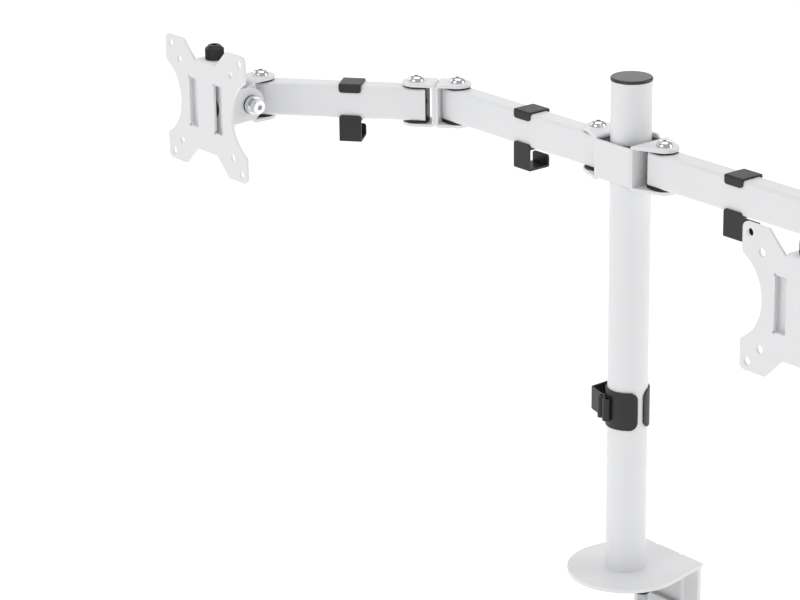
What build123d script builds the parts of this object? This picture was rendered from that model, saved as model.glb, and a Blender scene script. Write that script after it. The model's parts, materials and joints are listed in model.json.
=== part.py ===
"""Two-screen monitor arm on a desk pole, in millimetres.

Frame: the origin is on the pole's axis at the desk surface, +Z is up, -Y points to the user.
Each jointed piece is modelled in a local frame whose origin is the pivot it turns on and whose
+X runs away from the pole, then placed at the rest position of its side.
"""
from build123d import *
import math
import os

os.makedirs("parts", exist_ok=True)

# ---- overall layout -------------------------------------------------------------------------
ARM_Z = 377.5            # height of the centre line of all the arms above the desk
HUB_PIVOT = 40.0         # pole axis to the inner arm's pivot
INNER_LEN = 182.0        # pivot to pivot
LINK_LEN = 37.0          # pivot to pivot of the elbow link
OUTER_LEN = 141.0        # pivot to pivot
REST_BEND = 40.0         # degrees, elbow link and outer arm towards the user at rest
RUN = 0.08               # radial running clearance
GAP = 0.1                # flat clearance between turning faces

# ---- base and desk clamp --------------------------------------------------------------------
PAD_T = 1.5
PLATE_T = 4.0
PLATE_R = 51.0
PLATE_BACK = 54.0        # straight back edge
PLATE_BACK_HALF = 42.0
PLATE_TOP = PAD_T + PLATE_T
NOTCH_X = 14.5
UPRIGHT_T = 4.0
UPRIGHT_HALF = 40.0
WEB_HALF = 26.0          # raised middle of the upright
WEB_FRONT = 44.5
UPRIGHT_LOW = -112.0
SLOT_X = 13.0
JAW_T = 5.0
JAW_TOP = -36.0
JAW_FLOOR = -86.0        # underside of the jaw's flat leg
JAW_FRONT = -6.0
SCREW_Y = 21.0
SCREW_R = 5.0
CAP_TOP = -22.5          # top of the clamp screw's foot at rest
CAP_R = 6.7
CAP_H = 4.4
CAP_SKIN = 1.4           # foot above the tip of the screw
SCREW_LOW = -142.0
HANDLE_R = 19.0
LOBE_R = 5.0
LOBES = 6

# ---- pole -----------------------------------------------------------------------------------
POLE_R = 17.5
POLE_WALL = 2.0
POLE_TOP = 446.0
CLIP_Z = 156.5           # middle of the cable clip on the pole
POCKET_HALF = 10.0       # half the height of its cable pocket

# ---- hub ------------------------------------------------------------------------------------
SHEET = 2.75             # bent steel of every bracket
BOX_HALF = 23.0
BOX_FRONT = -21.6
BOX_BACK = 20.2
PANEL_HALF_H = 16.5
SLEEVE_R = 18.2
EAR_IN = 16.75           # inner face of an ear above the arm's centre line
EAR_OUT = EAR_IN + SHEET
EAR_R = 12.5

# ---- arm tubes ------------------------------------------------------------------------------
TUBE_W = 20.0
TUBE_H = 30.0
TUBE_WALL = 1.8
TUBE_END = 9.5           # tube beyond its pivot
CAP_FLANGE = 1.0
PIVOT_R = 4.0            # bolt shank
CLIP_HALF = 10.0         # half the length of a cable clip along its tube
CLIP_T = 2.0
CLIP_LOW = -36.0

# ---- screen head, from the swivel pivot towards the screen -----------------------------------
WEB_IN = 15.5
TILT_X = 24.0
CHEEK_R = 14.5
SWIVEL_HALF = 12.5
CHEEK_IN = 13.8
CHEEK_OUT = CHEEK_IN + SHEET
TILT_WEB = 49.5          # front face of the tilt bracket's web
CARRIER_BACK = 52.5
CARRIER_T = 2.5
VESA_FRONT = 61.2
VESA_T = 2.5
VESA_HALF = 57.5
VESA_HOLE_R = 3.25
FLANGE_TOP = 43.0        # top of the screen plate's bent-back flange
KNOB_X = 49.7
KNOB_R = 8.5
KNOB_H = 12.8


def block(x0, x1, y0, y1, z0, z1):
    """A box given by its lowest and highest corners."""
    centre = Pos((x0 + x1) / 2, (y0 + y1) / 2, (z0 + z1) / 2)
    return centre * Box(x1 - x0, y1 - y0, z1 - z0)


def post(radius, z0, z1, x=0.0, y=0.0):
    """A cylinder along Z."""
    return Pos(x, y, (z0 + z1) / 2) * Cylinder(radius, z1 - z0)


def rod_x(radius, x0, x1, y=0.0, z=0.0):
    """A cylinder along X."""
    return Pos((x0 + x1) / 2, y, z) * Rot(0, 90, 0) * Cylinder(radius, x1 - x0)


def rod_y(radius, y0, y1, x=0.0, z=0.0):
    """A cylinder along Y."""
    return Pos(x, (y0 + y1) / 2, z) * Rot(90, 0, 0) * Cylinder(radius, y1 - y0)


def hull(*faces):
    """The outline stretched round some flat shapes."""
    edges = [edge for face in faces for edge in face.edges()]
    return make_hull(edges)


def slab(sketch, z0, z1):
    """A flat shape in XY, thick from z0 to z1."""
    return Pos(0, 0, z0) * extrude(sketch, z1 - z0)


def hexagon(width, z0, z1, x=0.0, y=0.0):
    """A hexagonal prism of a given width across its flats."""
    return Pos(x, y, 0) * slab(RegularPolygon(width / math.sqrt(3), 6), z0, z1)


def save(name, *pieces):
    """Writes one node: one solid, or a group of separate solids."""
    solids = [solid for piece in pieces for solid in piece.solids()]
    shape = solids[0] if len(solids) == 1 else Compound(children=solids)
    shape.label = name
    export_step(shape, f"parts/{name}.step")


# ---- fasteners ------------------------------------------------------------------------------
def button_head(radius, height, socket):
    """A domed head standing on z = 0 with a hexagonal socket."""
    arc = ThreePointArc((radius, 0.6), (radius * 0.74, height * 0.78), (radius * 0.36, height))
    outline = Polyline((radius * 0.36, height), (0, height), (0, 0), (radius, 0), (radius, 0.6))
    head = revolve(Plane.XZ * make_face([arc, outline]), Axis.Z)
    return head - hexagon(socket, height - 2.4, height + 1)


def pivot_bolt():
    """The bolt that a tube turns on, its shoulder filling both ears."""
    head = Pos(0, 0, EAR_OUT) * button_head(7.2, 4.8, 4.0)
    shank = post(PIVOT_R, -17.0, EAR_OUT)
    thread = post(3.0, -EAR_OUT - 1.4, -17.0)
    return head + shank + thread


def pivot_nut():
    """The low domed nut under the lower ear."""
    low = -EAR_OUT - 2.6
    nut = post(5.8, low, -EAR_OUT)
    nut = chamfer(nut.edges().sort_by(Axis.Z)[0], 1.2)
    return nut - post(3.0 + RUN, -EAR_OUT - 1.5, -EAR_OUT + 1)


# ---- base and clamp -------------------------------------------------------------------------
def base_outline(inset, back):
    edge = Rectangle(2 * (PLATE_BACK_HALF - inset), 2)
    return hull(Circle(PLATE_R - inset), Pos(0, back - 1) * edge)


def base_plate():
    plate = slab(base_outline(0, PLATE_BACK), PAD_T, PLATE_TOP)
    plate = fillet(plate.faces().sort_by(Axis.Z)[-1].edges(), 0.8)
    for x in (-NOTCH_X, NOTCH_X):
        plate -= block(x - 2.4, x + 2.4, PLATE_BACK - 1.8, PLATE_BACK + 1, 0, 10)
    plate -= post(PIVOT_R + 0.4, 0, 10)
    sink = Pos(0, 0, PAD_T + 2.0) * Cone(8.4, 4.4, 4.0)
    return plate - sink


def foot_bolt():
    """Countersunk bolt that draws the pole down on the plate."""
    head = Pos(0, 0, PAD_T + 2.0) * Cone(7.9, 4.2, 3.7)
    shank = post(PIVOT_R, PAD_T + 2, PLATE_TOP + 13)
    return head + shank - hexagon(5, PAD_T - 1, PAD_T + 2.6)


def clamp_upright():
    back = PLATE_BACK - UPRIGHT_T
    inner = WEB_HALF - UPRIGHT_T
    half = [
        (0, WEB_FRONT),
        (WEB_HALF, WEB_FRONT),
        (WEB_HALF, back),
        (UPRIGHT_HALF, back),
        (UPRIGHT_HALF, PLATE_BACK),
        (inner, PLATE_BACK),
        (inner, WEB_FRONT + UPRIGHT_T),
        (0, WEB_FRONT + UPRIGHT_T),
    ]
    other = [(-x, y) for x, y in reversed(half[1:-1])]
    sheet = slab(make_face(Polyline(*half, *other, close=True)), UPRIGHT_LOW, PAD_T)
    bends = sheet.edges().filter_by(Axis.Z)
    bends = [e for e in bends if WEB_HALF - 5 < abs(e.center().X) < WEB_HALF + 1]
    sheet = fillet([e for e in bends if abs(e.center().Y - WEB_FRONT) < 0.1], 2.5)
    for x in (-SLOT_X, SLOT_X):
        slot = extrude(Plane.XZ * Rot(0, 0, 90) * SlotOverall(58, 6.6), 10, both=True)
        sheet -= Pos(x, WEB_FRONT + UPRIGHT_T / 2, -70) * (slot & block(-9, 9, -3, 3, -40, 40))
    return sheet


def lower_jaw():
    back = WEB_FRONT
    outline = Polyline(
        (back, JAW_TOP),
        (back, JAW_FLOOR),
        (JAW_FRONT, JAW_FLOOR),
        (JAW_FRONT, JAW_FLOOR + JAW_T),
        (back - JAW_T, JAW_FLOOR + JAW_T),
        (back - JAW_T, JAW_TOP),
        close=True,
    )
    jaw = extrude(Plane.YZ * make_face(outline), WEB_HALF, both=True)
    corner = [e for e in jaw.edges().filter_by(Axis.X) if e.center().Z < JAW_FLOOR + 0.1]
    jaw = fillet([e for e in corner if e.center().Y > back - 0.1], 6.0)
    nose = [e for e in jaw.edges().filter_by(Axis.Z) if e.center().Y < JAW_FRONT + 0.1]
    jaw = fillet(nose, 12.0)
    jaw -= post(SCREW_R + 0.5, JAW_FLOOR - 1, JAW_FLOOR + JAW_T + 1, y=SCREW_Y)
    for x in (-SLOT_X, SLOT_X):
        jaw -= rod_y(3.3, back - JAW_T - 1, back + 1, x=x, z=-56)
        jaw -= Pos(x, back - JAW_T + 1.7, -56) * Rot(90, 0, 0) * Cone(3.2, 6.7, 3.5)
    return jaw


def jaw_bolt(x):
    """Countersunk bolt through the jaw and the slot, its nut in the hollow of the upright."""
    front = WEB_FRONT - JAW_T
    head = Pos(x, front + 1.7, -56) * Rot(90, 0, 0) * Cone(3.0, 6.4, 3.2)
    shank = rod_y(3.0, front + 1, WEB_FRONT + UPRIGHT_T + 4.6, x=x, z=-56)
    nut = Pos(x, WEB_FRONT + UPRIGHT_T, -56) * Rot(-90, 0, 0) * hexagon(10, 0.05, 4.4)
    nut -= rod_y(3.0 + RUN, WEB_FRONT, PLATE_BACK + 5, x=x, z=-56)
    socket = Pos(x, front, -56) * Rot(-90, 0, 0) * hexagon(4, -1, 2.2)
    return [head + shank - socket, nut]


def screw_nut():
    nut = hexagon(17, JAW_FLOOR - 8.4, JAW_FLOOR, y=SCREW_Y)
    return nut - post(SCREW_R + RUN, JAW_FLOOR - 10, JAW_FLOOR + 1, y=SCREW_Y)


def clamp_foot():
    """Soft foot that swivels on the tip of the clamp screw."""
    foot = post(CAP_R, CAP_TOP - CAP_H, CAP_TOP, y=SCREW_Y)
    foot = fillet(foot.edges().filter_by(GeomType.CIRCLE), 0.7)
    return foot - post(SCREW_R + RUN, CAP_TOP - CAP_H - 1, CAP_TOP - CAP_SKIN, y=SCREW_Y)


def clamp_screw():
    tip = CAP_TOP - CAP_SKIN - GAP
    screw = post(SCREW_R, SCREW_LOW, tip, y=SCREW_Y)
    return chamfer(screw.edges().filter_by(GeomType.CIRCLE), 0.8)


def clamp_handle():
    """Star grip under the screw."""
    star = Circle(HANDLE_R - LOBE_R + 1)
    for place in PolarLocations(HANDLE_R - LOBE_R, LOBES):
        star += place * Circle(LOBE_R)
    grip = Pos(0, SCREW_Y, 0) * slab(star, SCREW_LOW - 8, SCREW_LOW + 9)
    ends = grip.faces().filter_by(Plane.XY)
    grip = fillet([e for face in ends for e in face.edges()], 1.6)
    grip += post(9, SCREW_LOW + 9, SCREW_LOW + 15, y=SCREW_Y)
    return grip - post(SCREW_R + 0.02, SCREW_LOW, SCREW_LOW + 20, y=SCREW_Y)


# ---- pole -----------------------------------------------------------------------------------
def pole_tube():
    tube = post(POLE_R, PLATE_TOP, POLE_TOP)
    return tube - post(POLE_R - POLE_WALL, PLATE_TOP, POLE_TOP + 1)


def pole_foot():
    """Steel plug in the bottom of the pole that the foot bolt screws into."""
    plug = post(POLE_R - POLE_WALL, PLATE_TOP, PLATE_TOP + 15)
    return plug - post(PIVOT_R + RUN, 0, PLATE_TOP + 20)


def pole_cap():
    disc = post(POLE_R + 0.4, POLE_TOP, POLE_TOP + 2.6)
    disc = fillet(disc.edges().filter_by(GeomType.CIRCLE).sort_by(Axis.Z)[-1], 1.2)
    neck = post(POLE_R - POLE_WALL - 0.1, POLE_TOP - 9, POLE_TOP)
    return disc + neck - post(POLE_R - POLE_WALL - 2, POLE_TOP - 10, POLE_TOP - 0.5)


def pole_cable_clip():
    """Springy band round the pole with a hooked pocket for cables at its left."""
    wall = 1.6
    inner = POLE_R + 0.05
    outer = inner + wall
    mouth_from = -16.0
    mouth_to = 4.5
    half = 17.0
    band = Circle(outer) - Circle(inner)
    reach = 30.0
    mouth = make_face(
        Polyline(
            (0, 0),
            (reach * math.cos(math.radians(mouth_from)), reach * math.sin(math.radians(mouth_from))),
            (reach * math.cos(math.radians(mouth_to)), reach * math.sin(math.radians(mouth_to))),
            close=True,
        )
    )
    clip = slab(band - mouth, CLIP_Z - half, CLIP_Z + half)
    tips = [e for e in clip.edges().filter_by(GeomType.LINE) if abs(e.length - wall) < 0.05]
    clip = fillet(tips, 7.0)
    # pocket: out behind the pole, forward along the far wall, back to its curled lip
    low = CLIP_Z - POCKET_HALF
    high = CLIP_Z + POCKET_HALF
    corners = [(-13.0, 13.4), (-33.6, 13.4), (-33.6, -10.9), (-13.2, -17.2)]
    pocket = slab(trace(FilletPolyline(*corners, radius=3.0), wall), low, high)
    pocket -= post(inner, low - 1, high + 1)
    lip = post(3.25, low, high, x=-12.7, y=-19.0)
    hem = post(3.75, low, high, x=-3.9, y=-21.1)
    clip = clip + pocket + lip + hem
    clip -= post(1.7, low - 1, high + 1, x=-12.7, y=-19.0)
    return clip - post(2.2, low - 1, high + 1, x=-3.9, y=-21.1)


# ---- hub ------------------------------------------------------------------------------------
def height_sleeve():
    ring = post(SLEEVE_R, ARM_Z - 15.2, ARM_Z + 15.2)
    return ring - post(POLE_R + RUN, ARM_Z - 20, ARM_Z + 20)


def hub_ear(z0, z1):
    """One ear: wide at the box and round at the pivot."""
    root = Pos(BOX_HALF - SHEET / 2, 0) * Rectangle(SHEET, 2 * BOX_BACK)
    ear = slab(hull(root, Pos(HUB_PIVOT, 0) * Circle(EAR_R)), z0, z1)
    return ear - post(PIVOT_R + RUN, z0 - 1, z1 + 1, x=HUB_PIVOT)


def hub_bracket():
    inner = BOX_HALF - SHEET
    high = PANEL_HALF_H
    walls = block(-BOX_HALF, BOX_HALF, BOX_FRONT, BOX_BACK, -high, high)
    walls = fillet([e for e in walls.edges().filter_by(Axis.Z) if e.center().Y < 0], 3.5)
    inside = block(-inner, inner, BOX_FRONT + SHEET, BOX_BACK + 1, -high - 1, high + 1)
    inside = fillet([e for e in inside.edges().filter_by(Axis.Z) if e.center().Y < 0], 0.8)
    box = walls - inside
    right = block(inner, BOX_HALF, -BOX_BACK, BOX_BACK, -EAR_OUT, EAR_OUT)
    right += hub_ear(EAR_IN, EAR_OUT) + hub_ear(-EAR_OUT, -EAR_IN)
    bends = [e for e in right.edges().filter_by(Axis.Y) if abs(e.center().X - inner) < 0.05]
    right = fillet([e for e in bends if abs(abs(e.center().Z) - EAR_OUT) < 0.05], 2.4)
    left = mirror(right, about=Plane.YZ)
    return Pos(0, 0, ARM_Z) * (box + right + left)


def hub_insert():
    """Moulded block that fills the box and bears on the sleeve."""
    half = BOX_HALF - SHEET - 0.05
    body = block(-half, half, BOX_FRONT + SHEET + 0.05, BOX_BACK - 0.05, -16, 16)
    body = fillet([e for e in body.edges().filter_by(Axis.Z) if e.center().Y < 0], 0.9)
    body -= post(SLEEVE_R + RUN, -20, 20)
    for z in (-9, 9):
        body -= rod_y(3.4, 10, BOX_BACK + 1, z=z)
    return Pos(0, 0, ARM_Z) * body


def hub_rear_plate():
    plate = block(-BOX_HALF, BOX_HALF, BOX_BACK, BOX_BACK + SHEET, -16.5, 16.5)
    lobe = block(-12, 12, BOX_BACK, BOX_BACK + SHEET, 10, 19.7)
    lobe = fillet([e for e in lobe.edges().filter_by(Axis.Y) if e.center().Z > 15], 4.5)
    plate = fillet(plate.edges().filter_by(Axis.Y), 3.0) + lobe
    for z in (-9, 9):
        plate -= rod_y(3.0 + RUN, BOX_BACK - 1, BOX_BACK + SHEET + 1, z=z)
    return Pos(0, 0, ARM_Z) * plate


def hub_lock_screw(z):
    """Screw that presses the sleeve on the pole."""
    head = Pos(0, BOX_BACK + SHEET, z) * Rot(-90, 0, 0) * button_head(5.2, 3.2, 4.0)
    shank = rod_y(3.0, SLEEVE_R + 0.3, BOX_BACK + SHEET, z=z)
    return Pos(0, 0, ARM_Z) * (head + shank)


# ---- arm pieces, local frame: near pivot at the origin, far pivot on +X -----------------------
def arm_tube(length):
    outer = block(-TUBE_END, length + TUBE_END, -TUBE_W / 2, TUBE_W / 2, -TUBE_H / 2, TUBE_H / 2)
    outer = fillet(outer.edges().filter_by(Axis.X), 2.6)
    inner_w = TUBE_W / 2 - TUBE_WALL
    inner_h = TUBE_H / 2 - TUBE_WALL
    inner = block(-20, length + 20, -inner_w, inner_w, -inner_h, inner_h)
    inner = fillet(inner.edges().filter_by(Axis.X), 0.9)
    tube = outer - inner
    for x in (0, length):
        tube -= post(PIVOT_R + RUN, -20, 20, x=x)
    return tube


def end_cap():
    """Moulded cap on a tube's near end, with a washer above and below the tube."""
    top = EAR_IN - GAP
    flange = block(-TUBE_END - CAP_FLANGE, -TUBE_END, -TUBE_W / 2, TUBE_W / 2, -top, top)
    flange = fillet([e for e in flange.edges().filter_by(Axis.Z) if e.center().X < -TUBE_END - 0.5], 0.6)
    plug_w = TUBE_W / 2 - TUBE_WALL - 0.1
    plug_h = TUBE_H / 2 - TUBE_WALL - 0.1
    plug = block(-TUBE_END, -TUBE_END + 4.5, -plug_w, plug_w, -plug_h, plug_h)
    cap = flange + fillet(plug.edges().filter_by(Axis.X), 1.0)
    washer = hull(Circle(11.5), Pos(-TUBE_END, 0) * Rectangle(1, TUBE_W))
    for low, high in ((TUBE_H / 2, top), (-top, -TUBE_H / 2)):
        cap += slab(washer, low, high)
    cap -= post(PIVOT_R + RUN, -20, 20)
    for z, y in ((3.0, 6.0), (-12.5, 5.5)):
        cap += Pos(-TUBE_END - CAP_FLANGE, y, z) * Rot(0, -90, 0) * Cone(2.6, 1.8, 1.2)
    return cap


def cable_clip():
    """Clip that grips a tube and carries cables in a trough below it; local origin on the tube."""
    side = TUBE_W / 2
    under = TUBE_H / 2
    t = CLIP_T
    outline = Polyline(
        (-side, under - 6.0),
        (-side, under),
        (side, under),
        (side, -under),
        (-side, -under),
        (-side, -under + 3.2),
        (-side - t, -under + 3.2),
        (-side - t, CLIP_LOW),
        (side + t, CLIP_LOW),
        (side + t, -25.0),
        (side, -25.0),
        (side, CLIP_LOW + t),
        (-side, CLIP_LOW + t),
        (-side, -under - t),
        (side + t, -under - t),
        (side + t, under + t),
        (-side - t, under + t),
        (-side - t, under - 6.0),
        close=True,
    )
    clip = extrude(Plane.YZ * make_face(outline), CLIP_HALF, both=True)
    along = clip.edges().filter_by(Axis.X)
    bends = [e for e in along if abs(abs(e.center().Y) - side - t) < 0.05]
    outside = [e for e in bends if e.center().Z > under or e.center().Z < CLIP_LOW + 0.05]
    clip = fillet(outside, 1.7)
    tips = []
    for e in clip.edges().filter_by(Axis.Y):
        z = e.center().Z
        at_tip = min(abs(z - under + 6.0), abs(z + under - 3.2), abs(z + 25.0))
        if at_tip < 0.05 and abs(e.length - t) < 0.05:
            tips.append(e)
    return fillet(tips, 2.6)


# ---- elbow link, local frame: pivot at the origin, the other bracket on +X --------------------
def clevis(web_at, half_width):
    """A U of bent sheet: two ears round a pivot, joined by a web whose far face is at web_at."""
    outer = block(-EAR_R - 1, web_at, -half_width, half_width, -EAR_OUT, EAR_OUT)
    outer = fillet([e for e in outer.edges().filter_by(Axis.Y) if e.center().X > 0], 3.4)
    inner = block(-EAR_R - 2, web_at - SHEET, -half_width - 1, half_width + 1, -EAR_IN, EAR_IN)
    inner = fillet([e for e in inner.edges().filter_by(Axis.Y) if e.center().X > 0], 0.7)
    far = Pos(web_at - 1, 0) * Rectangle(2, 2 * half_width)
    plan = slab(hull(Circle(EAR_R), far), -EAR_OUT - 1, EAR_OUT + 1)
    return (outer - inner) & plan


def elbow_bracket():
    bracket = clevis(LINK_LEN / 2, EAR_R)
    return bracket - post(PIVOT_R + RUN, -30, 30)


# ---- screen head, local frame: swivel pivot at the origin, screen on +X -----------------------
def swivel_bracket():
    """Ears back round the outer arm, cheeks forward round the tilt bolt."""
    web_out = WEB_IN + SHEET
    bracket = clevis(web_out, SWIVEL_HALF)
    root = Pos(WEB_IN + SHEET / 2, 0) * Rectangle(SHEET, 2 * PANEL_HALF_H)
    side = hull(root, Pos(TILT_X, 0) * Circle(11.0))
    cheek = Plane.XZ * side
    for y in (SWIVEL_HALF, -SWIVEL_HALF + SHEET):
        bracket += Pos(0, y, 0) * extrude(cheek, SHEET)
    bracket -= post(PIVOT_R + RUN, -30, 30)
    return bracket - rod_y(PIVOT_R + RUN, -30, 30, x=TILT_X)


def tilt_bracket():
    """Web behind the screen plate with a cheek at each side running back to the tilt bolt."""
    web_back = TILT_WEB - SHEET
    root = Pos(TILT_WEB - 1, 0) * Rectangle(2, 32)
    side = hull(root, Pos(TILT_X, 0) * Circle(CHEEK_R))
    cheek = Plane.XZ * side
    bracket = block(web_back, TILT_WEB, -CHEEK_OUT, CHEEK_OUT, -16, 16)
    for y in (CHEEK_OUT, -CHEEK_IN):
        bracket += Pos(0, y, 0) * extrude(cheek, SHEET)
    front = [e for e in bracket.edges().filter_by(Axis.Z) if e.center().X > TILT_WEB - 0.05]
    bracket = fillet(front, 2.4)
    bracket -= rod_y(PIVOT_R + RUN, -30, 30, x=TILT_X)
    return bracket - rod_x(PIVOT_R + RUN, web_back - 1, TILT_WEB + 1)


def tilt_bolt():
    """Bolt along the tilt axis, its head at +Y on a chromed spacer."""
    head = Pos(TILT_X, CHEEK_OUT + 7.9, 0) * Rot(-90, 0, 0) * post(6.6, 0, 5.0)
    head = fillet(head.edges().filter_by(GeomType.CIRCLE).sort_by(Axis.Y)[-1], 0.8)
    socket = Pos(TILT_X, CHEEK_OUT + 10.4, 0) * Rot(-90, 0, 0) * hexagon(5, 0, 4)
    shank = rod_y(PIVOT_R, -CHEEK_OUT - 8.0, CHEEK_OUT + 8.0, x=TILT_X)
    return head + shank - socket


def tilt_nut():
    nut = Pos(TILT_X, -CHEEK_OUT - 1.2, 0) * Rot(90, 0, 0) * hexagon(12, 0, 6.4)
    return nut - rod_y(PIVOT_R + RUN, -40, 0, x=TILT_X)


def ring_y(inner, outer, y0, y1):
    """A washer round the tilt bolt."""
    return rod_y(outer, y0, y1, x=TILT_X) - rod_y(inner, y0 - 1, y1 + 1, x=TILT_X)


def tilt_spacers():
    """Chromed spacer and spring washer under the bolt's head, plain washer under the nut."""
    bore = PIVOT_R + RUN
    wide = ring_y(bore, 8.0, CHEEK_OUT + 1.2, CHEEK_OUT + 5.4)
    wide = fillet(wide.edges().filter_by(GeomType.CIRCLE).sort_by(Axis.Y)[-2:][1], 0.7)
    narrow = ring_y(bore, 6.2, CHEEK_OUT + 5.4, CHEEK_OUT + 7.9)
    return [wide, narrow, ring_y(bore, 7.5, -CHEEK_OUT - 1.2, -CHEEK_OUT)]


def tilt_friction_rings():
    """Nylon rings: one under the chromed spacer, one in each gap beside the swivel bracket."""
    bore = PIVOT_R + RUN
    rings = [ring_y(bore, 8.2, CHEEK_OUT, CHEEK_OUT + 1.2)]
    for sign in (1, -1):
        near = sorted((sign * (SWIVEL_HALF + GAP), sign * CHEEK_IN))
        rings.append(ring_y(bore, 9.5, near[0], near[1]))
    return rings


def carrier_plate():
    """Plate that turns on the tilt bracket, its ledge under the screen plate's flange."""
    front = CARRIER_BACK + CARRIER_T
    top = FLANGE_TOP - VESA_T
    high = top - 5
    sheet = extrude(Plane.YZ * (Pos(0, (high - 30) / 2) * Rectangle(60, high + 30)), CARRIER_T)
    sheet = fillet(sheet.edges().filter_by(Axis.X), 6.0)
    sheet = Pos(CARRIER_BACK, 0, 0) * sheet
    ledge = block(41, front, -13, 13, top - CARRIER_T, top)
    ledge = fillet([e for e in ledge.edges().filter_by(Axis.Z) if e.center().X < 42], 4.0)
    plate = sheet + block(CARRIER_BACK, front, -13, 13, 20, top) + ledge
    bend = [e for e in plate.edges().filter_by(Axis.Y) if e.center().Z > top - 0.1]
    plate = fillet([e for e in bend if e.center().X > front - 0.1], 2.0)
    plate -= post(2.6, 30, 45, x=KNOB_X)
    return plate - rod_x(PIVOT_R + RUN, 50, 60)


def turn_bearing():
    """Nylon disc between the tilt bracket and the carrier."""
    return rod_x(13, TILT_WEB, CARRIER_BACK) - rod_x(PIVOT_R + RUN, 40, 60)


def turn_bolt():
    """Low bolt that the carrier turns on."""
    front = CARRIER_BACK + CARRIER_T
    head = rod_x(11, front, front + 1.6)
    head = fillet(head.edges().filter_by(GeomType.CIRCLE).sort_by(Axis.X)[-1], 0.6)
    return head + rod_x(PIVOT_R, TILT_WEB - SHEET - 6.2, front + 0.5)


def turn_nut():
    back = TILT_WEB - SHEET
    nut = Pos(back, 0, 0) * Rot(0, -90, 0) * hexagon(13, 0, 5.6)
    return nut - rod_x(PIVOT_R + RUN, 30, 50)


def vesa_sketch():
    """Screen plate seen from the user: Y to the right, Z up."""
    outline = RectangleRounded(2 * VESA_HALF, 2 * VESA_HALF, 5.0)
    scoop_r = 37.4
    scoop_x = 74.2
    bite_low = 40.5
    bite_half = 14.5
    bite_out = VESA_HALF + 1 - bite_low
    for sign in (1, -1):
        outline -= Pos(sign * scoop_x, 0) * Circle(scoop_r)
        bite = Polyline(
            (-bite_half, sign * bite_low),
            (-bite_half - bite_out, sign * (VESA_HALF + 1)),
            (bite_half + bite_out, sign * (VESA_HALF + 1)),
            (bite_half, sign * bite_low),
            close=True,
        )
        outline -= make_face(bite)
    sharp = [v for v in outline.vertices() if abs(v.X) > 20 and abs(v.Y) > 30]
    lobes = [v for v in sharp if abs(v.Y) > VESA_HALF - 0.1 and abs(v.X) < 40]
    horns = [v for v in sharp if abs(v.X) > VESA_HALF - 0.1 and abs(v.Y) < 40]
    outline = fillet(lobes + horns, 3.0)
    window_w = 11.4
    window_h = 44.0
    window_z = 1.8
    for x in (-18.0, 18.0):
        outline -= Pos(x, window_z) * RectangleRounded(window_w, window_h, 1.0)
        for z in (-window_h / 2, window_h / 2):
            outline -= Pos(x - window_w / 2, window_z + z) * Circle(1.3)
    for pitch in (37.5, 50.0):
        for y in (-pitch, pitch):
            for z in (-pitch, pitch):
                outline -= Pos(y, z) * Circle(VESA_HOLE_R)
    return outline


def vesa_plate():
    back = VESA_FRONT - VESA_T
    sheet = Pos(back, 0, 0) * extrude(Plane.YZ * vesa_sketch(), VESA_T)
    low = FLANGE_TOP - VESA_T
    flange = block(VESA_FRONT - 20, VESA_FRONT, -13, 13, low, FLANGE_TOP)
    flange = fillet([e for e in flange.edges().filter_by(Axis.Z) if e.center().X < 50], 5.0)
    bend = [e for e in flange.edges().filter_by(Axis.Y) if e.center().Z > FLANGE_TOP - 0.1]
    flange = fillet([e for e in bend if e.center().X > VESA_FRONT - 0.1], 2.2)
    plate = sheet + flange + block(back, VESA_FRONT, -13, 13, 38, low)
    return plate - post(3.6, 30, 45, x=KNOB_X)


def lock_knob():
    """Knurled screw that locks the screen plate on the carrier."""
    base = FLANGE_TOP + GAP
    top = base + KNOB_H
    grip = post(KNOB_R, base, top, x=KNOB_X)
    grip = chamfer(grip.edges().filter_by(GeomType.CIRCLE).sort_by(Axis.Z)[-1], 3.0)
    grip = chamfer(grip.edges().filter_by(GeomType.CIRCLE).sort_by(Axis.Z)[0], 0.4)
    grip -= hexagon(5, top - 4, top + 1, x=KNOB_X)
    return grip + post(2.5, FLANGE_TOP - 8.5, base, x=KNOB_X)


# ---- placing --------------------------------------------------------------------------------
def side_frames(sign):
    """Rest frames of one side: inner arm, elbow link, outer arm and screen head."""
    inner_turn = 0 if sign > 0 else 180
    bend_turn = -REST_BEND if sign > 0 else 180 + REST_BEND
    bend = math.radians(bend_turn)
    x = sign * HUB_PIVOT
    inner = Location((x, 0, ARM_Z), (0, 0, inner_turn))
    x += sign * INNER_LEN
    link = Location((x, 0, ARM_Z), (0, 0, bend_turn))
    x += LINK_LEN * math.cos(bend)
    y = LINK_LEN * math.sin(bend)
    outer = Location((x, y, ARM_Z), (0, 0, bend_turn))
    x += OUTER_LEN * math.cos(bend)
    y += OUTER_LEN * math.sin(bend)
    head = Location((x, y, ARM_Z), (0, 0, -90))
    return inner, link, outer, head


def far_cap(length):
    """The end cap turned round for a tube's far end."""
    return Location((length, 0, 0), (0, 0, 180)) * end_cap()


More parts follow.
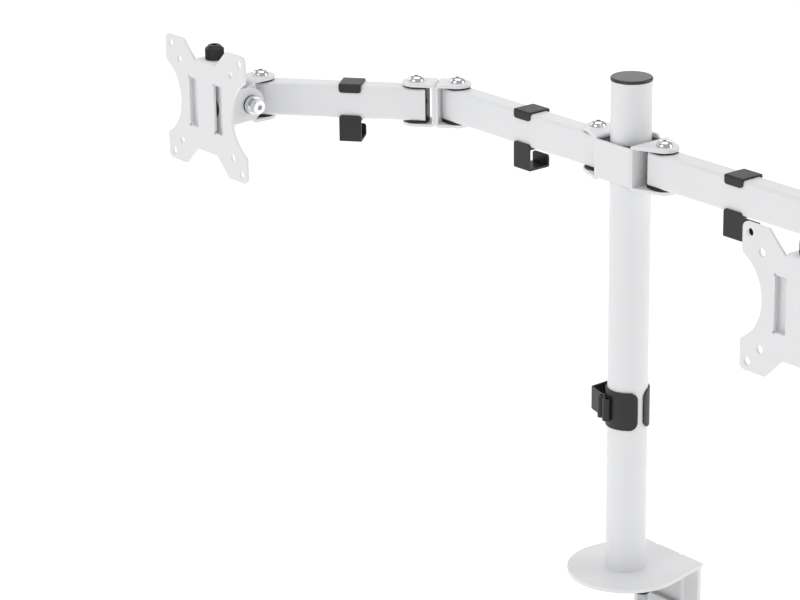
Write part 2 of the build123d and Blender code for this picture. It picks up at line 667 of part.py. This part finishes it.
def save_side(side, sign):
    inner, link, outer, head = side_frames(sign)
    flip = Location((LINK_LEN, 0, 0), (0, 0, 180))
    clip_turn = Rot(0, 0, 0 if sign > 0 else 180)
    save(f"inner_tube_{side}", inner * arm_tube(INNER_LEN))
    save(f"inner_caps_{side}", inner * end_cap(), inner * far_cap(INNER_LEN))
    clip_at = 91.0 if sign > 0 else 84.0
    save(f"inner_cable_clip_{side}", inner * Pos(clip_at, 0, 0) * clip_turn * cable_clip())
    save(f"elbow_bracket_inner_{side}", link * elbow_bracket())
    save(f"elbow_bracket_outer_{side}", link * flip * elbow_bracket())
    bolts = [place * piece for place in (link, link * flip) for piece in (pivot_bolt(), pivot_nut())]
    save(f"elbow_bolts_{side}", *bolts)
    save(f"outer_tube_{side}", outer * arm_tube(OUTER_LEN))
    save(f"outer_caps_{side}", outer * end_cap(), outer * far_cap(OUTER_LEN))
    save(f"outer_cable_clip_{side}", outer * Pos(58, 0, 0) * clip_turn * cable_clip())
    save(f"swivel_bracket_{side}", head * swivel_bracket())
    save(f"swivel_bolt_{side}", head * pivot_bolt(), head * pivot_nut())
    save(f"tilt_bracket_{side}", head * tilt_bracket())
    save(f"tilt_bolt_{side}", head * tilt_bolt(), head * tilt_nut())
    save(f"tilt_spacers_{side}", *[head * ring for ring in tilt_spacers()])
    save(f"tilt_friction_rings_{side}", *[head * ring for ring in tilt_friction_rings()])
    save(f"carrier_plate_{side}", head * carrier_plate())
    save(f"turn_bearing_{side}", head * turn_bearing())
    save(f"turn_bolt_{side}", head * turn_bolt(), head * turn_nut())
    save(f"vesa_plate_{side}", head * vesa_plate())
    save(f"lock_knob_{side}", head * lock_knob())


save("base_pad", slab(base_outline(7.0, WEB_FRONT - 1), 0, PAD_T))
save("base_plate", base_plate())
save("foot_bolt", foot_bolt())
save("clamp_upright", clamp_upright())
save("lower_jaw", lower_jaw())
save("jaw_bolts", *jaw_bolt(-SLOT_X), *jaw_bolt(SLOT_X))
save("screw_nut", screw_nut())
save("clamp_foot", clamp_foot())
save("clamp_screw", clamp_screw())
save("clamp_handle", clamp_handle())
save("pole_foot", pole_foot())
save("pole_tube", pole_tube())
save("pole_cap", pole_cap())
save("pole_cable_clip", pole_cable_clip())
save("height_sleeve", height_sleeve())
save("hub_bracket", hub_bracket())
save("hub_insert", hub_insert())
save("hub_rear_plate", hub_rear_plate())
save("hub_lock_screws", hub_lock_screw(-9), hub_lock_screw(9))
hub_pivots = [Pos(x, 0, ARM_Z) for x in (-HUB_PIVOT, HUB_PIVOT)]
hub_bolts = [place * piece for place in hub_pivots for piece in (pivot_bolt(), pivot_nut())]
save("hub_pivot_bolts", *hub_bolts)
save_side("left", -1)
save_side("right", 1)
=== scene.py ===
import json
import math

import bmesh
import bpy
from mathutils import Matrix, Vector


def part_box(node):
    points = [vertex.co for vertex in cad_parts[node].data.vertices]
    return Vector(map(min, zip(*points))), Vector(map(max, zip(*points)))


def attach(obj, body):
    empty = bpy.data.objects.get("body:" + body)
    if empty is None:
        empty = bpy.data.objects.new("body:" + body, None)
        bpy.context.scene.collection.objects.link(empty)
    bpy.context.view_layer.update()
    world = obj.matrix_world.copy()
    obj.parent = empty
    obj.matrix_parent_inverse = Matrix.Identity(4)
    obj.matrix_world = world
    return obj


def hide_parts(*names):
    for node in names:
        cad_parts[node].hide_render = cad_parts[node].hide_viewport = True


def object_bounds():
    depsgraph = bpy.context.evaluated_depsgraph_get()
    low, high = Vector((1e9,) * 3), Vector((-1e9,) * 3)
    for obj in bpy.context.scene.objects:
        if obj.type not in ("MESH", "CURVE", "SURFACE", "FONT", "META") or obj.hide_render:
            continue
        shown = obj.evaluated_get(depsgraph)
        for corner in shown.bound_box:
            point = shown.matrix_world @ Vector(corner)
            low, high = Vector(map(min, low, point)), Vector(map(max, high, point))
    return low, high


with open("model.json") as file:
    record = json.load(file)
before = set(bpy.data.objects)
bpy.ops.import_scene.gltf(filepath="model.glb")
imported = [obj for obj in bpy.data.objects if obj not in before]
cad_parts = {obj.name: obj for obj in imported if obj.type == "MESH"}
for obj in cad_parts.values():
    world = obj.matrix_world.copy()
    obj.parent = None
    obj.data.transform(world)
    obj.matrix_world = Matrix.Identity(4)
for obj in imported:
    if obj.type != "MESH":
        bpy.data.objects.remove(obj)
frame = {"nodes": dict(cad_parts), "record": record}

MM = 0.001
cad_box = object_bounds()
record = frame["record"]
SIDES = ("left", "right")


# ---- finishes -------------------------------------------------------------------------------
class Wire:
    """One output of a finish's nodes. Arithmetic on it adds Math nodes."""

    def __init__(self, finish, socket):
        self.finish = finish
        self.socket = socket

    def maths(self, operation, first, second):
        return self.finish.node("Math", {"operation": operation}, {0: first, 1: second})

    def __add__(self, other):
        return self.maths("ADD", self, other)

    __radd__ = __add__

    def __mul__(self, other):
        return self.maths("MULTIPLY", self, other)

    __rmul__ = __mul__

    def __pow__(self, other):
        return self.maths("POWER", self, other)

    def __rpow__(self, other):
        return self.maths("POWER", other, self)


class Finish:
    """A material in the making."""

    def __init__(self, name):
        self.material = bpy.data.materials.new(name)
        self.material.use_nodes = True
        self.tree = self.material.node_tree
        self.tree.nodes.clear()
        self.place = self.node("TexCoord", out="Object")

    def node(self, kind, settings=None, inputs=None, out=0):
        """Adds a node: its settings first, then the values or wires of its inputs."""
        made = self.tree.nodes.new("ShaderNode" + kind)
        for name, value in (settings or {}).items():
            setattr(made, name, value)
        for name, value in (inputs or {}).items():
            if isinstance(value, Wire):
                self.tree.links.new(value.socket, made.inputs[name])
            else:
                made.inputs[name].default_value = value
        return Wire(self, made.outputs[out])

    def grain(self, size, detail=2.0, rough=0.5):
        """Noise from 0 to 1 whose lumps are about so many metres across."""
        inputs = {"Vector": self.place, "Scale": 1.0 / size, "Detail": detail, "Roughness": rough}
        return self.node("TexNoise", None, inputs)

    def pores(self, size):
        """Rounded cells about so many metres across: 0 in the middle of each."""
        return self.node("TexVoronoi", None, {"Vector": self.place, "Scale": 1.0 / size})

    def tint(self, factor, low, high):
        """A colour between two, by a factor from 0 to 1."""
        ends = {0: factor, 6: (*low, 1), 7: (*high, 1)}
        return self.node("Mix", {"data_type": "RGBA"}, ends, out=2)

    def bump(self, height, depth, under=None):
        """A normal from a height that is so many metres deep."""
        inputs = {"Height": height, "Distance": depth, "Strength": 1.0}
        if under:
            inputs["Normal"] = under
        return self.node("Bump", None, inputs)

    def done(self, **inputs):
        """Joins the shader to the output. Underscores in a name stand for spaces."""
        named = {name.replace("_", " "): value for name, value in inputs.items()}
        shader = self.node("BsdfPrincipled", None, named)
        output = self.tree.nodes.new("ShaderNodeOutputMaterial")
        self.tree.links.new(shader.socket, output.inputs["Surface"])
        return self.material


CLOUD_SHADE = 0.972      # darkest of the paint's cloudiness
RUBBED_SHADE = 0.88      # darkest of the plating's rubbed patches
GRIT_SHARE = 0.22        # depth of the paint's grain beside its orange peel
FINE_SHARE = 0.35        # depth of the plastic's fine grain beside its stipple


def powder_coat(name, white, peel, rough):
    """Baked powder paint: a soft orange peel, a fine grain and faint cloudiness."""
    finish = Finish(name)
    cloud = finish.grain(26 * MM, 3)
    waves = finish.grain(2.2 * MM, 1)
    grit = finish.grain(0.42 * MM, 2)
    low = [c * CLOUD_SHADE for c in white]
    normal = finish.bump(waves, peel)
    normal = finish.bump(grit, peel * GRIT_SHARE, normal)
    return finish.done(
        Base_Color=finish.tint(cloud, low, white),
        Roughness=cloud * 0.06 + grit * 0.08 + rough,
        Normal=normal,
        IOR=1.5,
    )


def moulded_black(name, shade, stipple, rough):
    """Injection-moulded plastic with a spark-eroded texture and slight flow marks."""
    finish = Finish(name)
    flow = finish.grain(9 * MM, 2)
    spark = finish.pores(0.5 * MM)
    fine = finish.grain(0.2 * MM, 2)
    low = [shade * 0.75] * 3
    high = [shade * 1.2, shade * 1.2, shade * 1.26]
    normal = finish.bump(spark, stipple)
    normal = finish.bump(fine, stipple * FINE_SHARE, normal)
    return finish.done(
        Base_Color=finish.tint(flow, low, high),
        Roughness=flow * 0.10 + spark * 0.06 + rough,
        Normal=normal,
        IOR=1.49,
    )


def bright_plate(name, colour, rough, ripple, metal=1.0):
    """Plated metal: almost a mirror, with rubbed patches and a faint ripple."""
    finish = Finish(name)
    rubbed = finish.grain(3.4 * MM, 3, 0.6)
    ripple_height = finish.grain(0.9 * MM, 2)
    low = [c * RUBBED_SHADE for c in colour]
    return finish.done(
        Base_Color=finish.tint(rubbed, low, colour),
        Metallic=metal,
        Roughness=(rubbed ** 2.0) * 0.16 + rough,
        Normal=finish.bump(ripple_height, ripple),
    )


def foam_rubber(name):
    """Closed-cell sheet: matt black with open pores."""
    finish = Finish(name)
    cells = finish.pores(0.8 * MM)
    dusty = finish.grain(14 * MM, 3)
    return finish.done(
        Base_Color=finish.tint(dusty, (0.014, 0.014, 0.014), (0.030, 0.029, 0.028)),
        Roughness=dusty * 0.08 + 0.86,
        Normal=finish.bump(cells, 0.12 * MM),
    )


FINISHES = {
    "white_steel": powder_coat("white_powder_coat", (0.84, 0.845, 0.855), 0.020 * MM, 0.36),
    "pole_steel": powder_coat("pole_powder_coat", (0.85, 0.855, 0.865), 0.008 * MM, 0.30),
    "black_plastic": moulded_black("moulded_black", 0.014, 0.016 * MM, 0.36),
    "chrome_fastener": bright_plate("bright_chrome", (0.86, 0.87, 0.89), 0.04, 0.002 * MM),
    "zinc_steel": bright_plate("zinc_plate", (0.56, 0.57, 0.59), 0.24, 0.006 * MM),
    "rubber_pad": foam_rubber("foam_rubber"),
    "nylon": moulded_black("bearing_nylon", 0.018, 0.006 * MM, 0.30),
}
slot_of = {part["node"]: part["material_slot"] for part in record["subparts"]}
body_of = {node: body for body, nodes in record["behaviour"]["bodies"].items() for node in nodes}
OWN_FINISH = {
    # the cap's black is lighter than the other moulded black, a painted sheen standing in for
    # light on its top; its lower roughness is its real satin gloss
    "pole_cap": moulded_black("satin_cap", 0.030, 0.004 * MM, 0.24),
    "clamp_screw": bright_plate("pale_zinc", (0.93, 0.94, 0.95), 0.42, 0.004 * MM, 0.55),
}


def finish_of(node):
    """A node's own finish, or else that of its slot."""
    return OWN_FINISH.get(node) or FINISHES[slot_of[node]]


for node, thing in frame["nodes"].items():
    for place in thing.material_slots:
        place.material = finish_of(node)


# ---- modelling by hand ----------------------------------------------------------------------
WELD = 0.002 * MM        # corners closer than this are one
FLAT = 0.5               # degrees between facets of one flat face
SHARP = 38.0             # degrees: a sharper edge is broken
EDGE_STEPS = 2           # facets across a broken edge
ROUND_SIDES = 64         # facets round a cylinder
THREAD_DEEP = 0.55       # depth of a thread, as a share of its pitch
THREAD_HALF = 0.46       # half its width at the root, the same way
THREAD_STEPS = 24        # facets in one turn
PLAIN_TURNS = 2          # turns left without a ridge at the ends of a rod
UPRIGHT = 0.9            # least Z of a level face's normal
SMOOTH = 35.0            # degrees: a flatter edge than this is shaded smooth
FINE_SMOOTH = 30.0       # the same for the small turned pieces


def clear_selection():
    """Deselects every object."""
    for other in bpy.context.selected_objects:
        other.select_set(False)


def pick(thing):
    """Selects one object alone and makes it the active one."""
    clear_selection()
    thing.select_set(True)
    bpy.context.view_layer.objects.active = thing


def edit(thing):
    """Opens one object in edit mode."""
    pick(thing)
    bpy.ops.object.mode_set(mode="EDIT")


def leave():
    """Back to object mode."""
    bpy.ops.object.mode_set(mode="OBJECT")


def apply_modifier(thing, name, kind, **settings):
    """Adds one modifier, sets it and applies it."""
    modifier = thing.modifiers.new(name, kind)
    for key, value in settings.items():
        setattr(modifier, key, value)
    pick(thing)
    bpy.ops.object.modifier_apply(modifier=modifier.name)


def choose_faces(thing, wanted):
    """In edit mode, selects the faces that are wanted by their place or normal."""
    mesh = bmesh.from_edit_mesh(thing.data)
    bpy.ops.mesh.select_mode(type="FACE")
    bpy.ops.mesh.select_all(action="DESELECT")
    for face in mesh.faces:
        face.select_set(wanted(face))
    bmesh.update_edit_mesh(thing.data)


def cylinder(radius, low, high, at, sides=ROUND_SIDES):
    """A fresh cylinder along Z between two heights."""
    clear_selection()
    middle = (at[0], at[1], (low + high) / 2)
    bpy.ops.mesh.primitive_cylinder_add(
        vertices=sides, radius=radius, depth=high - low, location=middle
    )
    return bpy.context.object


def axis_of(node):
    """The box of a turned piece: where its upright axis stands, its radius, bottom and top."""
    low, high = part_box(node)
    at = ((low.x + high.x) / 2, (low.y + high.y) / 2)
    return at, (high.x - low.x) / 2, low.z, high.z


def step_out(rise, scale):
    """Draws the selected faces out by a height and scales them about their own middle."""
    bpy.ops.mesh.extrude_region_move(TRANSFORM_OT_translate={"value": (0, 0, rise)})
    bpy.ops.transform.resize(value=(scale, scale, 1))


def joined(pieces):
    """Several objects made one, the first one's."""
    clear_selection()
    for piece in pieces:
        piece.select_set(True)
    bpy.context.view_layer.objects.active = pieces[0]
    bpy.ops.object.join()
    return pieces[0]


def settle(thing, name, node, angle=SMOOTH):
    """Finishes a piece: its place in its mesh, its finish, its body and the node it stands for."""
    pick(thing)
    thing.name = name
    thing.data.name = name
    bpy.ops.object.transform_apply(location=True, rotation=True, scale=True)
    bpy.ops.object.shade_smooth_by_angle(angle=math.radians(angle))
    thing.data.materials.clear()
    thing.data.materials.append(finish_of(node))
    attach(thing, body_of[node])
    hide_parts(node)


def eased(node, width):
    """A node's shape again with its sharp edges broken, as pressed and coated sheet has them.

    Normals weighted by area keep the wide faces flat beside the broken edges.
    """
    source = frame["nodes"][node]
    thing = source.copy()
    thing.data = source.data.copy()
    thing.parent = None
    bpy.context.scene.collection.objects.link(thing)
    edit(thing)
    bpy.ops.mesh.select_all(action="SELECT")
    bpy.ops.mesh.remove_doubles(threshold=WELD)
    bpy.ops.mesh.dissolve_limited(angle_limit=math.radians(FLAT))
    leave()
    if "custom_normal" in thing.data.attributes:
        thing.data.attributes.remove(thing.data.attributes["custom_normal"])
    apply_modifier(
        thing,
        "broken_edges",
        "BEVEL",
        width=width,
        segments=EDGE_STEPS,
        limit_method="ANGLE",
        angle_limit=math.radians(SHARP),
        use_clamp_overlap=True,
    )
    settle(thing, node + "_eased", node)
    apply_modifier(thing, "flat_faces", "WEIGHTED_NORMAL", keep_sharp=True, weight=100)


def threaded_rod(radius, pitch, low, high, at, tip):
    """A plain core with chamfered ends and one sharp ridge wound up it."""
    deep = THREAD_DEEP * pitch
    core = cylinder(radius - deep, low, high, at)
    edit(core)
    choose_faces(core, lambda face: abs(face.normal.z) > UPRIGHT)
    bpy.ops.mesh.bevel(offset=tip, segments=1, affect="EDGES")
    leave()
    clear_selection()
    start = (at[0], at[1], low + pitch)
    bpy.ops.mesh.primitive_circle_add(
        vertices=4, radius=1, location=start, rotation=(math.radians(90), 0, 0)
    )
    ridge = bpy.context.object
    bpy.ops.object.transform_apply(location=False, rotation=True, scale=False)
    edit(ridge)
    bpy.ops.mesh.select_all(action="SELECT")
    bpy.ops.transform.resize(value=(deep, 1, THREAD_HALF * pitch))
    bpy.ops.transform.translate(value=(radius - deep, 0, 0))
    leave()
    turns = int((high - low) / pitch) - PLAIN_TURNS
    winding = {"axis": "Z", "screw_offset": pitch, "iterations": turns, "steps": THREAD_STEPS}
    apply_modifier(ridge, "wound", "SCREW", **winding)
    edit(ridge)
    bpy.ops.mesh.select_all(action="SELECT")
    bpy.ops.mesh.fill_holes(sides=0)
    bpy.ops.mesh.normals_make_consistent(inside=False)
    leave()
    return joined([core, ridge])


# ---- screws and grips -----------------------------------------------------------------------
KNOB_HIGH = 12.8 * MM    # grip of the lock knob
KNOB_TAPER = 3.0 * MM
KNOB_LIP = 0.4 * MM
CROWN = 0.64             # width of the crown's top beside the grip
LIP = 0.95               # width of the lower lip beside the grip
RIBS = 30
RIB_FACETS = 3           # facets of the grip to each rib, one of them raised
RIB_DEEP = 0.5 * MM
RIB_CORNERS = 4          # corners of a rib's end; the grip's own ends have many more
SIDEWAYS = 0.5           # most Z of a side face's normal
SOCKET = 5.0 * MM        # across the flats
SOCKET_DEEP = 4.0 * MM
KNOB_STUD = 2.5 * MM
STUD_INSIDE = 1.0 * MM   # of the stud within the grip
KNOB_PITCH = 0.8 * MM
KNOB_TIP = 0.3 * MM      # chamfer on the stud
SPINDLE_TIP = 0.8 * MM   # chamfer on the clamp screw


def ribbed_knob(side):
    """Lock knob: straight ribs round it, a tapered crown with a hexagonal socket, and its stud."""
    node = f"lock_knob_{side}"
    at, rim, low, high = axis_of(node)
    base = high - KNOB_HIGH
    shoulder = high - KNOB_TAPER
    count = RIB_FACETS * RIBS
    knob = cylinder(rim - RIB_DEEP, base + KNOB_LIP, shoulder, at, count)

    def on_rib(face):
        middle = face.calc_center_median()
        turn = math.atan2(middle.y, middle.x)
        facet = math.floor(turn / math.tau * count)
        return abs(face.normal.z) < SIDEWAYS and facet % RIB_FACETS == 0

    def at_end(sign):
        return lambda face: sign * face.normal.z > UPRIGHT and len(face.verts) > RIB_CORNERS

    edit(knob)
    choose_faces(knob, on_rib)
    bpy.ops.mesh.extrude_region_move()
    out = rim / (rim - RIB_DEEP)
    bpy.ops.transform.resize(value=(out, out, 1))
    choose_faces(knob, at_end(1))
    step_out(KNOB_TAPER, CROWN)
    choose_faces(knob, at_end(-1))
    step_out(-KNOB_LIP, LIP)
    leave()
    clear_selection()
    bpy.ops.mesh.primitive_cylinder_add(
        vertices=6, radius=SOCKET / math.sqrt(3), depth=2 * SOCKET_DEEP, location=(*at, high)
    )
    cutter = bpy.context.object
    apply_modifier(knob, "socket", "BOOLEAN", object=cutter, operation="DIFFERENCE")
    bpy.data.objects.remove(cutter)
    stud = threaded_rod(KNOB_STUD, KNOB_PITCH, low, base + STUD_INSIDE, at, KNOB_TIP)
    settle(joined([knob, stud]), f"ribbed_knob_{side}", node, FINE_SMOOTH)


def clamp_spindle():
    """The clamp's long screw, its thread as coarse as its coupling says."""
    node = "clamp_screw"
    at, rim, low, high = axis_of(node)
    pitch = math.tau / record["behaviour"]["couplings"][0]["ratio"]
    spindle = threaded_rod(rim, pitch, low, high, at, SPINDLE_TIP)
    settle(spindle, "threaded_spindle", node, FINE_SMOOTH)


# ---- light, floor and camera ----------------------------------------------------------------
def soft_light(name, size, power, place, target):
    """A rectangular lamp at a place, turned to a target."""
    lamp = bpy.data.lights.new(name, "AREA")
    lamp.shape = "RECTANGLE"
    lamp.size = size[0]
    lamp.size_y = size[1]
    lamp.energy = power
    holder = bpy.data.objects.new(name, lamp)
    bpy.context.scene.collection.objects.link(holder)
    holder.location = place
    holder.rotation_euler = (Vector(target) - Vector(place)).to_track_quat("-Z", "Y").to_euler()


FLOOR_WIDE = 60
FLOOR_GAP = 2 * MM
FLOOR_GLOW = 0.40


def pale_floor():
    """Plain floor just under the clamp's grip when its screw is wound right down."""
    joints = {joint["name"]: joint for joint in record["behaviour"]["joints"]}
    low = cad_box[0].z + joints["clamp_slide"]["range_m"][0] - FLOOR_GAP
    clear_selection()
    bpy.ops.mesh.primitive_plane_add(size=FLOOR_WIDE, location=(0, 0, low))
    floor = bpy.context.object
    floor.name = "floor"
    finish = Finish("pale_floor")
    faint = finish.grain(0.8, 2)
    colour = finish.tint(faint, (0.91, 0.91, 0.91), (0.93, 0.93, 0.93))
    white = {"Emission_Color": (1, 1, 1, 1), "Emission_Strength": FLOOR_GLOW}
    floor.data.materials.append(finish.done(Base_Color=colour, Roughness=0.9, **white))


def daylight(strength):
    """An even white sky."""
    world = bpy.data.worlds.new("studio")
    bpy.context.scene.world = world
    world.use_nodes = True
    sky = world.node_tree.nodes["Background"]
    sky.inputs["Color"].default_value = (1, 1, 1, 1)
    sky.inputs["Strength"].default_value = strength


CAMERA_AT = (1.7990, -1.7303, 1.1389)
CAMERA_DOWN = 19.58      # degrees below level
CAMERA_TURN = 48.37      # degrees round from the front
LENS = 140.2             # millimetres
SENSOR_WIDE = 36         # the same
SHIFT = -0.1416
FAR = 200


def camera():
    """A long lens whose frame is shifted sideways."""
    lens = bpy.data.cameras.new("camera")
    lens.sensor_width = SENSOR_WIDE
    lens.lens = LENS
    lens.shift_x = SHIFT
    lens.clip_end = FAR
    holder = bpy.data.objects.new("camera", lens)
    bpy.context.scene.collection.objects.link(holder)
    holder.location = CAMERA_AT
    holder.rotation_euler = (math.radians(90 - CAMERA_DOWN), 0, math.radians(CAMERA_TURN))
    bpy.context.scene.camera = holder


bpy.context.scene.view_settings.view_transform = "Standard"
pale_floor()
daylight(0.42)
middle = (0, 0, 0.32)
soft_light("front_softbox", (1.8, 1.4), 20, (0.1, -2.6, 1.9), middle)
soft_light("overhead_softbox", (2.2, 1.6), 20, (-0.3, 0.3, 2.7), middle)
soft_light("right_softbox", (1.2, 1.8), 24, (2.0, 2.5, 1.2), middle)
soft_light("left_softbox", (1.2, 1.8), 8, (-2.8, -0.6, 1.4), middle)
soft_light("low_back_softbox", (2.4, 1.0), 10, (-2.3, 2.3, 1.0), middle)
camera()

# ---- the object -----------------------------------------------------------------------------
SHEET_EDGE = 0.35 * MM
EASED = {
    "hub_bracket": SHEET_EDGE,
    "hub_rear_plate": SHEET_EDGE,
    "hub_insert": 0.25 * MM,
    "clamp_upright": 0.4 * MM,
    "lower_jaw": 0.4 * MM,
    "base_pad": 0.3 * MM,
    "clamp_handle": 0.3 * MM,
    "pole_cable_clip": 0.25 * MM,
}
EASED_SIDES = {
    "vesa_plate": SHEET_EDGE,
    "carrier_plate": SHEET_EDGE,
    "tilt_bracket": SHEET_EDGE,
    "swivel_bracket": SHEET_EDGE,
    "elbow_bracket_inner": SHEET_EDGE,
    "elbow_bracket_outer": SHEET_EDGE,
    "inner_cable_clip": 0.3 * MM,
    "outer_cable_clip": 0.3 * MM,
}
for node, width in EASED.items():
    eased(node, width)
for side in SIDES:
    for node, width in EASED_SIDES.items():
        eased(f"{node}_{side}", width)
    ribbed_knob(side)
clamp_spindle()
